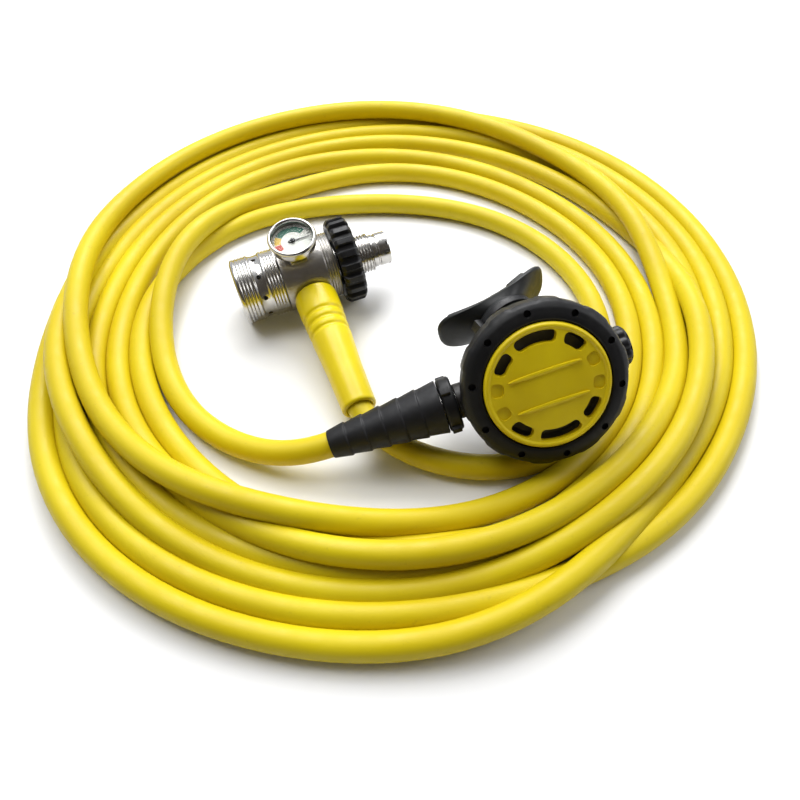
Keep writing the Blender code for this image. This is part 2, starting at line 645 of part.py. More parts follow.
def along(frame, *heights):
    """Points on a frame's Z axis, in world millimetres."""
    place = frame.matrix_world
    return [place @ (Vector((0, 0, h)) * MM) / MM for h in heights]


def route_points(*places):
    """Route points in the layout: (x, y) on the floor, or (x, y, height of the centre)."""
    floor = (HOSE_RADIUS + 0.1,)
    return [Vector((place + floor)[:3]) - SET_CENTRE for place in places]


def build_hose(port_frame, valve):
    first_end = along(port_frame, FIRST_FERRULE_END + GAP, 72, YELLOW_BOOT_END, YELLOW_BOOT_END + 10)
    hose_tube("hose_lead_first", first_end + route_points(
        (2, -107), (20, -117), (40, -122), (58, -121), (73.4, -112.4), (87.7, -97), (102.2, -76),
        (112, -48.5), (117, -18), (114, 10), (103, 38), (86, 63), (62, 83), (33, 95), (2, 100),
        (-28, 99.5), (-54, 96.5), (-77, 91)))
    second_end = along(valve, SECOND_FERRULE_END - GAP, BLACK_BOOT_END, BLACK_BOOT_END - 8)
    hose_tube("hose_lead_second", second_end + route_points(
        (-50, -115, 13.6), (-62, -112.5, 9), (-76, -107.5), (-97, -97)))
    build_coil()


def build_coil():
    """The outer shape of the coiled hose: its inner wall lies off the middle of its outer wall."""
    inner, outer = COIL_INNER_RADIUS, COIL_OUTER_RADIUS
    coil = turned("hose_coil", [
        (inner + 2, 0), (inner, 3), (inner, 11), (inner + 3, 13), (inner + 16, 14), (inner + 22, 24),
        (inner + 30, 34), (inner + 40, 38), (outer - 26, 37), (outer - 10, 28), (outer, 15), (outer, 5),
        (outer - 3, 0)], None, yellow_rubber(), 48)
    for vertex in coil.data.vertices:
        reach = vertex.co.to_2d().length / MM
        vertex.co.xy += COIL_INNER_SHIFT * MM * (outer - reach) / (outer - inner)
    coil.location = (COIL_CENTRE - SET_CENTRE) * MM


def main():
    clear_scene()
    first, gauge_frame, port_frame = first_frames()
    face, valve = second_frames()
    build_first_body(first, gauge_frame, port_frame)
    build_piston(first)
    build_din_connector(first)
    build_gauge(gauge_frame)
    build_first_hose_end(port_frame)
    build_case(face, valve)
    build_cover(face)
    build_valve(face, valve)
    build_adjuster(valve)
    build_inlet(valve)
    build_exhaust(face)
    build_mouthpiece(face)
    bpy.context.view_layer.update()
    build_hose(port_frame, valve)


main()
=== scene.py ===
"""The looks of the scuba regulator set: every visible surface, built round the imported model.

Shapes are drawn in millimetres in the frame of the stage that they belong to, and placed by
a matrix that turns them into metres in the row's frame.
"""

import json
import math

import bmesh
import bpy
import numpy as np
from mathutils import Matrix, Vector


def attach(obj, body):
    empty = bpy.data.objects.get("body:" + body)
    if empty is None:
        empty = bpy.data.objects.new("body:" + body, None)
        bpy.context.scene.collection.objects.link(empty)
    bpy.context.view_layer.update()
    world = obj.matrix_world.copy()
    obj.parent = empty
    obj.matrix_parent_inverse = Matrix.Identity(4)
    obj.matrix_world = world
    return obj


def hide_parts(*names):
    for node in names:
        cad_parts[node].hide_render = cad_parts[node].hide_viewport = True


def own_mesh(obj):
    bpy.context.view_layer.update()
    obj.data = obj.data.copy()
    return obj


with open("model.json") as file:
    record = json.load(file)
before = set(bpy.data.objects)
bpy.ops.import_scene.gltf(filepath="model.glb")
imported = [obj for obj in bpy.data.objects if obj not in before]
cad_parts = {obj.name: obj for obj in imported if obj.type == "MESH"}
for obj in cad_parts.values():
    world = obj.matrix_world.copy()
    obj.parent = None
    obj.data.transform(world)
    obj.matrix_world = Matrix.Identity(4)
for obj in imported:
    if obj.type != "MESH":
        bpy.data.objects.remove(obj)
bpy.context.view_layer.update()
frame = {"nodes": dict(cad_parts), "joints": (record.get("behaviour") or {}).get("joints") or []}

MM = 0.001
TURN_STEPS = 96  # sides of a large turned piece
SHARP_EDGE = math.radians(32.0)  # a steeper fold between two faces is shaded as an edge

# Layout, as in the model: the hose's plan places are measured from a point near the coil's middle,
# and this moves them into the row's frame.
LAYOUT_SHIFT = Vector((-5.0, 42.0, 0.0))
HOSE_RADIUS = 6.5
FLOOR_HEIGHT = HOSE_RADIUS + 0.1

# First stage, from the end of its cap.
WHEEL_MIDDLE = 65.0
GAUGE_Z = 38.0
PORT_Z = 41.0
PORT_DROP = 6.9
FIRST_FERRULE_END = 44.0
YELLOW_BOOT_END = 100.4

WHEEL_START = 59.6
WHEEL_GROOVES = 20
GRIP_START = 20.8  # radius where the wheel's grooves begin
GRIP_WIDTH = 4.2
GRIP_DEPTH = 2.4
THREAD_PITCH = 1.81
THREAD_RADIUS = 11.45
THREAD_DEPTH = 0.9
THREAD_START = 12.4
THREAD_END = 21.4
AMBIENT_HOLES = 9
PLUG_ANGLES = (180, 130)

# Second stage.
SWIVEL_X = 57.0
VALVE_DEPTH = -14.5
SECOND_FERRULE_END = -80.0
BLACK_BOOT_START = -48.4
BLACK_BOOT_END = -104.5
RING_HOLES = 10
COLLAR_TABS = 4
BOOT_STEPS = 6
RING_RADIUS = 37.2  # where the cover ring's grip pads begin
CLAMP_TURN = math.radians(-60)
FLANGE_SIDES = 56
FLANGE_ROWS = 6
FLANGE_CURL = 0.006  # rise for each square millimetre of sideways distance
# The cover's windows and, last, its blind dimples: middle, half span, height of the floor.
COVER_WINDOWS = (
    (90, 24, 2), (270, 24, 2), (44, 13, 2), (136, 13, 2), (224, 13, 2), (316, 13, 2),
    (14, 8, 7.1), (346, 8, 7.1), (166, 8, 7.1), (194, 8, 7.1),
)
MOUTH_START = Vector((0.0, 14.0, -20.0))
MOUTH_AXIS = Vector((-0.24, 0.62, -0.747)).normalized()


# ------------------------------------------------------------------ frames


def basis(origin, x_axis, z_axis):
    """A matrix at origin whose Z is z_axis and whose X is as near x_axis as it can be."""
    z = z_axis.normalized()
    x = (x_axis - z * x_axis.dot(z)).normalized()
    return Matrix.Translation(origin) @ Matrix((x, z.cross(x), z)).transposed().to_4x4()


def joint(name):
    """A joint's place, in millimetres, and its axis."""
    found = next(j for j in frame["joints"] if j["name"] == name)
    return Vector(found.get("pos_m", (0, 0, 0))) / MM, Vector(found["axis"])


def first_frames():
    """The frames, in millimetres, of the first stage, its gauge and its hose port."""
    middle, axis = joint("handwheel_spin")
    origin = middle - axis * WHEEL_MIDDLE
    level = Vector((axis.y, -axis.x, 0.0)).normalized()
    upright = level.cross(axis)
    drop = math.radians(PORT_DROP)
    port = level * math.cos(drop) - upright * math.sin(drop)
    needle = joint("gauge_needle_turn")[1]
    return (basis(origin, port, axis), basis(origin + axis * GAUGE_Z, axis, -needle),
            basis(origin + axis * PORT_Z, axis, port))


def second_frames():
    """The frames, in millimetres, of the second stage's face and of its valve."""
    place, swivel = joint("second_stage_swivel")
    out = -joint("purge_press")[1]
    origin = place + swivel * SWIVEL_X - out * VALVE_DEPTH
    face = basis(origin, swivel, out)
    return face, basis(origin + out * VALVE_DEPTH, out, swivel)


FIRST, GAUGE, PORT = first_frames()
FACE, VALVE = second_frames()
MOUTH = FACE @ basis(MOUTH_START, Vector((1, 0, 0)), MOUTH_AXIS)


# --------------------------------------------------------------- materials


class Graph:
    """A small helper for building a material's nodes."""

    def __init__(self, name):
        self.material = bpy.data.materials.new(name)
        self.material.use_nodes = True
        self.nodes = self.material.node_tree.nodes
        self.shader = self.nodes["Principled BSDF"]
        self.place = self.add("ShaderNodeTexCoord").outputs["Object"]

    def add(self, kind, **settings):
        node = self.nodes.new(kind)
        for key, value in settings.items():
            setattr(node, key, value)
        return node

    def link(self, output, socket):
        self.material.node_tree.links.new(output, socket)

    def noise(self, scale, detail=3.0, roughness=0.5):
        node = self.add("ShaderNodeTexNoise")
        node.inputs["Scale"].default_value = scale
        node.inputs["Detail"].default_value = detail
        node.inputs["Roughness"].default_value = roughness
        self.link(self.place, node.inputs["Vector"])
        return node.outputs["Fac"]

    def span(self, value, low, high, to_low, to_high):
        """Maps value from the range low to high onto another range."""
        node = self.add("ShaderNodeMapRange")
        settings = (("From Min", low), ("From Max", high), ("To Min", to_low), ("To Max", to_high))
        for key, number in settings:
            node.inputs[key].default_value = number
        self.link(value, node.inputs["Value"])
        return node.outputs["Result"]

    def mix(self, factor, first, second):
        """Mixes two colours, each a tuple or a socket."""
        node = self.add("ShaderNodeMix", data_type="RGBA")
        self.link(factor, node.inputs["Factor"])
        for socket, colour in ((node.inputs[6], first), (node.inputs[7], second)):
            if isinstance(colour, tuple):
                socket.default_value = (*colour, 1.0)
            else:
                self.link(colour, socket)
        return node.outputs[2]

    def bump(self, height, strength, distance, below=None):
        node = self.add("ShaderNodeBump")
        node.inputs["Strength"].default_value = strength
        node.inputs["Distance"].default_value = distance
        self.link(height, node.inputs["Height"])
        if below:
            self.link(below, node.inputs["Normal"])
        return node.outputs["Normal"]


def finish_of(name, colour, tint, roughness, metallic=0.0, grain=(2500, 0.15), blotch=60, wear=None,
              **sockets):
    """A material whose colour drifts to tint, with fine grain, uneven gloss and worn edges."""
    graph = Graph(name)
    surface = graph.mix(graph.span(graph.noise(blotch), 0.35, 0.7, 0, 1), colour, tint)
    if wear:
        edges = graph.add("ShaderNodeNewGeometry").outputs["Pointiness"]
        scuffs = graph.add("ShaderNodeMath", operation="MULTIPLY")
        graph.link(graph.span(edges, 0.52, 0.6, 0, 1), scuffs.inputs[0])
        graph.link(graph.span(graph.noise(400), 0.45, 0.7, 0, 1), scuffs.inputs[1])
        surface = graph.mix(scuffs.outputs[0], surface, wear)
    graph.link(surface, graph.shader.inputs["Base Color"])
    low, high = roughness
    graph.link(graph.span(graph.noise(blotch * 5), 0.3, 0.7, low, high), graph.shader.inputs["Roughness"])
    graph.shader.inputs["Metallic"].default_value = metallic
    fine = graph.bump(graph.noise(grain[0]), grain[1], 0.0001)
    soft = graph.bump(graph.noise(blotch * 3), 0.25, 0.0002, fine)
    graph.link(soft, graph.shader.inputs["Normal"])
    for socket, value in sockets.items():
        graph.shader.inputs[socket.replace("_", " ")].default_value = value
    return graph.material


def turned_metal(name, colour, tint, roughness):
    """Machined metal: fine rings round the first stage's axis, over a smooth base."""
    graph = Graph(name)
    surface = graph.mix(graph.span(graph.noise(90), 0.3, 0.7, 0, 1), colour, tint)
    graph.link(surface, graph.shader.inputs["Base Color"])
    graph.shader.inputs["Metallic"].default_value = 1.0
    low, high = roughness
    graph.link(graph.span(graph.noise(700), 0.3, 0.7, low, high), graph.shader.inputs["Roughness"])
    turn_in = graph.add("ShaderNodeMapping", vector_type="POINT")
    turn_in.inputs["Rotation"].default_value = FIRST.inverted().to_euler()
    graph.link(graph.place, turn_in.inputs["Vector"])
    rings = graph.add("ShaderNodeTexWave", wave_type="BANDS", bands_direction="Z")
    rings.inputs["Scale"].default_value = 900
    rings.inputs["Distortion"].default_value = 1.5
    graph.link(turn_in.outputs["Vector"], rings.inputs["Vector"])
    graph.link(graph.bump(rings.outputs["Fac"], 0.03, 0.000004), graph.shader.inputs["Normal"])
    return graph.material


def glass():
    """A clear lens with slightly uneven gloss."""
    graph = Graph("gauge_glass")
    shader = graph.shader.inputs
    shader["Base Color"].default_value = (0.02, 0.02, 0.02, 1)
    shader["Alpha"].default_value = 0.06
    graph.link(graph.span(graph.noise(300), 0.3, 0.8, 0.02, 0.08), shader["Roughness"])
    return graph.material


CHROME = turned_metal("chrome_polished", (0.60, 0.585, 0.56), (0.50, 0.485, 0.46), (0.17, 0.26))
SATIN = finish_of("satin_blasted", (0.50, 0.48, 0.455), (0.42, 0.40, 0.375), (0.28, 0.38), 1.0,
                  (4200, 0.3), 120)
BRASS = finish_of("brass_machined", (0.70, 0.52, 0.22), (0.58, 0.42, 0.16), (0.22, 0.36), 1.0)
STEEL = finish_of("spring_steel", (0.50, 0.50, 0.51), (0.38, 0.38, 0.40), (0.25, 0.4), 1.0)
PLASTIC = finish_of("black_plastic_moulded", (0.005, 0.005, 0.006), (0.009, 0.009, 0.010), (0.34, 0.5),
                    grain=(3200, 0.3), wear=(0.03, 0.03, 0.032), Specular_IOR_Level=0.32)
RING_PLASTIC = finish_of("black_ring_moulded", (0.004, 0.004, 0.005), (0.008, 0.008, 0.008), (0.40, 0.55),
                         grain=(2600, 0.4), wear=(0.03, 0.03, 0.03), Specular_IOR_Level=0.28)
CASE_PLASTIC = finish_of("case_moulded", (0.012, 0.010, 0.009), (0.020, 0.017, 0.015), (0.35, 0.5),
                         grain=(3000, 0.3), wear=(0.09, 0.08, 0.07), Specular_IOR_Level=0.35)
RUBBER = finish_of("black_rubber_moulded", (0.006, 0.006, 0.007), (0.012, 0.012, 0.014), (0.42, 0.6),
                   grain=(2200, 0.35), wear=(0.04, 0.04, 0.045), Specular_IOR_Level=0.32)
MOUTH_RUBBER = finish_of("mouthpiece_silicone", (0.009, 0.010, 0.010), (0.017, 0.018, 0.018), (0.36, 0.5),
                         grain=(1800, 0.25), Specular_IOR_Level=0.35)
COVER_YELLOW = finish_of("yellow_cover_moulded", (0.72, 0.56, 0.003), (0.64, 0.48, 0.002), (0.34, 0.46),
                         grain=(3600, 0.35), blotch=45, Specular_IOR_Level=0.35)
BOOT_YELLOW = finish_of("yellow_boot_moulded", (0.76, 0.61, 0.002), (0.68, 0.53, 0.002), (0.28, 0.38),
                        grain=(3000, 0.2), blotch=40, Specular_IOR_Level=0.35)
WHITE = finish_of("white_moulded", (0.8, 0.8, 0.77), (0.7, 0.7, 0.66), (0.4, 0.55))
SILICONE = finish_of("grey_silicone", (0.10, 0.10, 0.11), (0.15, 0.15, 0.16), (0.5, 0.65))
DIAL = finish_of("dial_print", (0.84, 0.86, 0.78), (0.78, 0.80, 0.72), (0.4, 0.5), grain=(5000, 0.1))
INKS = {
    "green": finish_of("ink_green", (0.01, 0.13, 0.08), (0.015, 0.17, 0.10), (0.4, 0.5), grain=(5000, 0.1)),
    "yellow": finish_of("ink_yellow", (0.75, 0.50, 0.05), (0.70, 0.42, 0.04), (0.4, 0.5), grain=(5000, 0.1)),
    "red": finish_of("ink_red", (0.55, 0.06, 0.03), (0.45, 0.05, 0.03), (0.4, 0.5), grain=(5000, 0.1)),
    "black": finish_of("ink_black", (0.02, 0.02, 0.02), (0.04, 0.04, 0.04), (0.4, 0.5), grain=(5000, 0.1)),
}
GLASS = glass()


def hose_material():
    """Extruded rubber: even yellow with faint drawn lines, dust and scuffs."""
    graph = Graph("yellow_hose_extruded")
    base = graph.mix(graph.span(graph.noise(14), 0.3, 0.7, 0, 1), (0.66, 0.53, 0.004), (0.58, 0.44, 0.003))
    marks = graph.span(graph.noise(260, 6, 0.65), 0.62, 0.74, 0, 0.35)
    surface = graph.mix(marks, base, (0.36, 0.27, 0.01))
    graph.link(surface, graph.shader.inputs["Base Color"])
    graph.link(graph.span(graph.noise(120, 5), 0.3, 0.7, 0.40, 0.58), graph.shader.inputs["Roughness"])
    graph.shader.inputs["Specular IOR Level"].default_value = 0.32
    fine = graph.bump(graph.noise(2400, 4), 0.3, 0.0001)
    wavy = graph.bump(graph.noise(110), 0.35, 0.0004, fine)
    graph.link(wavy, graph.shader.inputs["Normal"])
    return graph.material


# ------------------------------------------------------------ mesh helpers


def place_mesh(name, shape, matrix, material, body, replaces=()):
    """Makes a piece of a bmesh in millimetres and lets it ride on a body."""
    bmesh.ops.recalc_face_normals(shape, faces=shape.faces)
    bmesh.ops.transform(shape, matrix=Matrix.Scale(MM, 4) @ matrix, verts=shape.verts)
    mesh = bpy.data.meshes.new(name)
    shape.to_mesh(mesh)
    shape.free()
    mesh.shade_smooth()
    mesh.set_sharp_from_angle(angle=SHARP_EDGE)
    obj = bpy.data.objects.new(name, mesh)
    bpy.context.scene.collection.objects.link(obj)
    if body:
        mesh.materials.append(material)
        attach(obj, body)
        if replaces:
            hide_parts(*replaces)
    return obj


def soften(outline, size, parts=3):
    """The outline with each corner rounded by about size."""
    result = []
    count = len(outline)
    for k, corner in enumerate(outline):
        if corner[0] < 1e-6:
            result.append(corner)
            continue
        here = Vector(corner)
        before = Vector(outline[k - 1]) - here
        after = Vector(outline[(k + 1) % count]) - here
        start = here + before.normalized() * min(size, 0.45 * before.length)
        end = here + after.normalized() * min(size, 0.45 * after.length)
        for step in range(parts + 1):
            t = step / parts
            result.append(tuple(start * (1 - t) ** 2 + here * 2 * t * (1 - t) + end * t * t))
    return result


def turned_shape(profile, steps=TURN_STEPS, reach=None):
    """An outline of (radius, height) turned about Z. reach(radius, height, angle) may vary it.

    An outline that touches the axis starts and ends on it.
    """
    shape = bmesh.new()
    rings = [point for point in profile if point[0] > 1e-6]
    rows = []
    for radius, height in rings:
        row = []
        for k in range(steps):
            angle = 2 * math.pi * k / steps
            far = reach(radius, height, angle) if reach else radius
            row.append(shape.verts.new((far * math.cos(angle), far * math.sin(angle), height)))
        rows.append(row)
    solid = len(rings) < len(profile)
    for row, following in zip(rows, rows[1:] if solid else rows[1:] + rows[:1]):
        for k in range(steps):
            t = (k + 1) % steps
            shape.faces.new((row[k], row[t], following[t], following[k]))
    if solid:
        for row, tip in ((rows[0], profile[0]), (rows[-1], profile[-1])):
            point = shape.verts.new((0, 0, tip[1]))
            for k in range(steps):
                shape.faces.new((row[k], row[(k + 1) % steps], point))
    return shape


def turned(name, profile, matrix, material, body, replaces=(), steps=TURN_STEPS, reach=None):
    """A turned piece, as turned_shape makes it."""
    return place_mesh(name, turned_shape(profile, steps, reach), matrix, material, body, replaces)


def prism_shape(outline, low, high):
    """An outline of (x, y) drawn out along Z from low to high."""
    shape = bmesh.new()
    base = [shape.verts.new((x, y, low)) for x, y in outline]
    top = [shape.verts.new((x, y, high)) for x, y in outline]
    shape.faces.new(base)
    shape.faces.new(top)
    for k in range(len(outline)):
        t = (k + 1) % len(outline)
        shape.faces.new((base[k], base[t], top[t], top[k]))
    return shape


def bevelled(shape, width, parts=2):
    """Rounds every sharp edge of a shape in millimetres."""
    bmesh.ops.recalc_face_normals(shape, faces=shape.faces)
    edges = [e for e in shape.edges if e.is_manifold and e.calc_face_angle() > math.radians(25)]
    bmesh.ops.bevel(shape, geom=edges, offset=width, segments=parts, profile=0.6, affect="EDGES")
    return shape


def rod_shape(radius, low, high, steps=24):
    return turned_shape([(0, low), (radius, low), (radius, high), (0, high)], steps)


def carve(obj, cutters, operation="DIFFERENCE"):
    """Cuts obj with, or joins it to, each (shape, matrix in millimetres), for good."""
    helpers = []
    for k, (shape, matrix) in enumerate(cutters):
        helper = place_mesh(f"{obj.name}_tool_{k}", shape, matrix, None, None)
        modifier = obj.modifiers.new(helper.name, "BOOLEAN")
        modifier.operation = operation
        modifier.object = helper
        modifier.solver = "EXACT"
        helpers.append(helper)
    bpy.context.view_layer.update()
    depsgraph = bpy.context.evaluated_depsgraph_get()
    mesh = bpy.data.meshes.new_from_object(obj.evaluated_get(depsgraph))
    obj.modifiers.clear()
    obj.data = mesh
    for helper in helpers:
        bpy.data.objects.remove(helper)
    mesh.shade_smooth()
    mesh.set_sharp_from_angle(angle=SHARP_EDGE)


def grooves(start, end, count, radius, depth):
    """Outline points of fine V grooves turned into a cylinder, from start to end."""
    points = []
    pitch = (end - start) / count
    for k in range(count):
        at = start + pitch * k
        points += [(radius, at + 0.12 * pitch), (radius - depth, at + 0.38 * pitch),
                   (radius - depth, at + 0.62 * pitch), (radius, at + 0.88 * pitch)]
    return points


# --------------------------------------------------------------- the hose

# Radii of the coil in millimetres, one row for each turn, every 45 degrees from STATION_START on.
# They aren't worked out here: they began as the rounded output of a separate program that traced
# and relaxed the coil, and many of them were then corrected by hand.
STATION_START = 135.0
STATION = 45.0
COIL_RADII = [
    127, 149, 156, 163, 168, 176, 188, 194,
    188, 187, 199, 192, 190, 201, 216, 218,
    214, 197, 212, 203, 183, 188, 201, 206,
    199, 192, 190, 183, 174, 170, 170, 178,
    181, 176, 179, 174, 157, 147, 147, 158,
    167, 162, 167, 171, 163, 160, 178, 205,
    210, 189, 172, 154, 144, 134, 132, 139,
    138, 142, 137.2,
]
COIL_STEP = 5.0  # degrees between two points of the coil's curve
NEIGHBOURS = 8  # points along the hose that don't press on each other
REST_STEPS = 260
LAST_STEPS = 60  # steps at the end, with a slower sinking


def smooth_path(points, spacing=14.0):
    """A smooth curve through the route's points, read about every spacing millimetres."""
    ends = [points[0] * 2 - points[1]] + points + [points[-1] * 2 - points[-2]]
    path = []
    for p0, p1, p2, p3 in zip(ends, ends[1:], ends[2:], ends[3:]):
        count = max(1, round((p2 - p1).length / spacing))
        for k in range(count):
            t = k / count
            path.append(0.5 * (2 * p1 + (p2 - p0) * t + (2 * p0 - 5 * p1 + 4 * p2 - p3) * t * t
                               + (3 * p1 - p0 - 3 * p2 + p3) * t ** 3))
    return path + [points[-1]]


def route_points(*places):
    """Route points in the row's frame, from (x, y) on the floor or (x, y, height)."""
    floor = (FLOOR_HEIGHT,)
    return [Vector((place + floor)[:3]) + LAYOUT_SHIFT for place in places]


def along(matrix, *heights):
    """Points at these heights on a frame's Z."""
    return [matrix @ Vector((0, 0, height)) for height in heights]


def coil_plan():
    """The coil's plan, in millimetres from the layout's origin: a smooth curve through the radii."""
    count = len(COIL_RADII)
    knots = np.arange(count) * STATION
    turn = np.arange(0, knots[-1] + 0.1, COIL_STEP)
    radii = np.array(COIL_RADII, float)
    slopes = np.gradient(radii, STATION)
    k = np.minimum((turn // STATION).astype(int), count - 2)
    t = (turn - knots[k]) / STATION
    reach = ((2 * t ** 3 - 3 * t ** 2 + 1) * radii[k] + (t ** 3 - 2 * t ** 2 + t) * STATION * slopes[k]
             + (3 * t ** 2 - 2 * t ** 3) * radii[k + 1] + (t ** 3 - t ** 2) * STATION * slopes[k + 1])
    angle = np.radians(turn + STATION_START)
    return np.stack([reach * np.cos(angle), reach * np.sin(angle)], 1)


def laid(plan):
    """Heights of the coil as it is laid down from the first stage, each turn on those before it."""
    size = 2 * HOSE_RADIUS
    heights = np.full(len(plan), HOSE_RADIUS)
    for k in range(len(plan)):
        under = plan[:max(0, k - NEIGHBOURS)]
        if not len(under):
            continue
        gap = np.linalg.norm(under - plan[k], axis=1)
        close = gap < size
        if close.any():
            top = heights[:len(under)][close] + np.sqrt(size ** 2 - gap[close] ** 2)
            heights[k] = max(heights[k], top.max())
    for _ in range(12):
        heights[1:-1] = 0.25 * heights[:-2] + 0.5 * heights[1:-1] + 0.25 * heights[2:]
    return HOSE_RADIUS + 0.7 * (heights - HOSE_RADIUS)


def settle(plan, heights, fixed):
    """Lets the coil sink under its weight while its turns push each other apart.

    fixed are points of the loose ends, which stay where they are.
    """
    size = 2 * HOSE_RADIUS
    start = np.column_stack([plan, heights])
    place = start.copy()
    count = len(place)
    near = np.abs(np.arange(count)[:, None] - np.arange(count)[None]) < NEIGHBOURS
    for step in range(REST_STEPS):
        place[:, 2] -= 0.3 if step < REST_STEPS - LAST_STEPS else 0.05
        place[:, :2] += 0.07 * (plan - place[:, :2])
        points = np.vstack([place, fixed])
        apart = place[:, None] - points[None]
        gap = np.sqrt((apart ** 2).sum(2))
        gap[:, :count][near] = 2 * size
        gap[:NEIGHBOURS, count:] = 2 * size
        gap[-NEIGHBOURS:, count:] = 2 * size
        press = np.where(gap < size, 0.3 * (size - gap) / np.maximum(gap, 0.1), 0.0)
        place += (press[:, :, None] * apart).sum(1)
        moved = place - start
        moved[1:-1] += 0.3 * (0.5 * (moved[:-2] + moved[2:]) - moved[1:-1])
        moved[[0, -1]] = 0
        place = start + moved
        place[:, 2] = np.maximum(place[:, 2], HOSE_RADIUS)
    return place


def hose_path():
    """The hose's whole centreline, in millimetres, from the first stage to the second."""
    first_end = along(PORT, FIRST_FERRULE_END + 0.3, 72, YELLOW_BOOT_END, YELLOW_BOOT_END + 10)
    first_end += route_points(
        (2, -107), (20, -117), (40, -122), (58, -121), (73.4, -112.4), (87.7, -97), (102.2, -76),
        (112, -48.5), (117, -18), (114, 10), (103, 38), (86, 63), (62, 83), (33, 95), (2, 100),
        (-28, 99.5), (-54, 96.5), (-77, 91))
    second_end = along(VALVE, SECOND_FERRULE_END - 0.3, BLACK_BOOT_END, BLACK_BOOT_END - 8)
    second_end += route_points((-50, -115, 13.6), (-62, -112.5, 9), (-76, -107.5), (-97, -97))
    lead_first = smooth_path(first_end)
    lead_second = smooth_path(second_end)[::-1]
    plan = coil_plan()
    heights = laid(plan)
    shift = np.array(LAYOUT_SHIFT[:2])
    fixed = np.array([tuple(p) for p in lead_first + lead_second])
    coil = settle(plan + shift, heights, fixed)
    coil = [Vector(p) for p in coil]
    return lead_first[:-1] + coil + lead_second[1:]


def evened(path, rounds):
    """The path with small kinks smoothed out. Its ends stay where they are."""
    points = np.array([tuple(p) for p in path])
    for _ in range(rounds):
        bend = 0.5 * (points[:-2] + points[2:]) - points[1:-1]
        push = np.zeros_like(points)
        push[1:-1] = bend
        push[2:-2] -= 0.5 * (bend[:-2] + bend[2:])
        push[[0, 1, -2, -1]] = 0
        points += 0.5 * push
        points[:, 2] = np.maximum(points[:, 2], HOSE_RADIUS)
    return points


def build_hose():
    """The hose as one cord, with a round section, along the whole centreline."""
    points = evened(hose_path(), 25)
    curve = bpy.data.curves.new("hose", "CURVE")
    curve.dimensions = "3D"
    curve.bevel_depth = HOSE_RADIUS * MM
    curve.bevel_resolution = 6
    curve.resolution_u = 2
    curve.use_fill_caps = True
    spline = curve.splines.new("NURBS")
    spline.points.add(len(points) - 1)
    for point, place in zip(spline.points, points):
        point.co = (*(place * MM), 1.0)
    spline.order_u = 4
    spline.use_endpoint_u = True
    curve.materials.append(hose_material())
    hose = bpy.data.objects.new("hose", curve)
    bpy.context.scene.collection.objects.link(hose)
    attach(hose, "root")
    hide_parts("hose_lead_first", "hose_coil", "hose_lead_second")


# ------------------------------------------------------------------- stage


def build_sky(tree):
    """A bright room behind and above the object, and a dim brown one in front of it."""
    place = tree.nodes.new("ShaderNodeTexCoord")
    split = tree.nodes.new("ShaderNodeSeparateXYZ")
    tree.links.new(place.outputs["Generated"], split.inputs["Vector"])
    ramp = tree.nodes.new("ShaderNodeMapRange")
    ramp.inputs["From Min"].default_value = -0.35
    ramp.inputs["From Max"].default_value = 0.25
    tree.links.new(split.outputs["Y"], ramp.inputs["Value"])
    mix = tree.nodes.new("ShaderNodeMix")
    mix.data_type = "RGBA"
    mix.inputs[6].default_value = (0.13, 0.115, 0.10, 1)
    mix.inputs[7].default_value = (0.92, 0.95, 1.0, 1)
    tree.links.new(ramp.outputs["Result"], mix.inputs["Factor"])
    background = tree.nodes["Background"]
    tree.links.new(mix.outputs[2], background.inputs["Color"])
    background.inputs["Strength"].default_value = 0.7


def build_stage():
    """A pale floor, soft light from above and behind, and the camera."""
    shape = bmesh.new()
    bmesh.ops.create_grid(shape, x_segments=1, y_segments=1, size=2500)
    graph = Graph("floor_paper")
    pale = graph.mix(graph.span(graph.noise(6), 0.3, 0.7, 0, 1), (0.86, 0.86, 0.86), (0.84, 0.84, 0.84))
    graph.link(pale, graph.shader.inputs["Base Color"])
    graph.shader.inputs["Roughness"].default_value = 0.9
    floor = place_mesh("floor", shape, Matrix.Identity(4), None, None)
    floor.data.materials.append(graph.material)
    # Each light's name, place, aim, power and size.
    lights = (
        ("back_light", (0.0, 0.85, 0.95), (0, 0, 0), 17.0, 0.8),
        ("top_light", (-0.45, 0.25, 1.1), (0, 0, 0), 7.0, 0.6),
        ("side_light", (0.9, 0.1, 0.7), (0, 0, 0.02), 3.0, 0.5),
    )
    for name, place, aim, energy, size in lights:
        light = bpy.data.lights.new(name, "AREA")
        light.energy = energy
        light.size = size
        lamp = bpy.data.objects.new(name, light)
        bpy.context.scene.collection.objects.link(lamp)
        lamp.location = place
        lamp.rotation_euler = (Vector(aim) - Vector(place)).to_track_quat("-Z", "Y").to_euler()
    world = bpy.data.worlds.new("studio")
    bpy.context.scene.world = world
    world.use_nodes = True
    build_sky(world.node_tree)
    lens = bpy.data.cameras.new("camera")
    lens.sensor_width = 36.0
    lens.lens = 30.6
    camera = bpy.data.objects.new("camera", lens)
    bpy.context.scene.collection.objects.link(camera)
    camera.location = (Vector((0.0, -303.0, 288.0)) + LAYOUT_SHIFT) * MM
    camera.rotation_euler = (math.radians(39.0), 0, 0)
    bpy.context.scene.camera = camera
    bpy.context.scene.view_settings.view_transform = "Standard"


# ------------------------------------------------------------- first stage


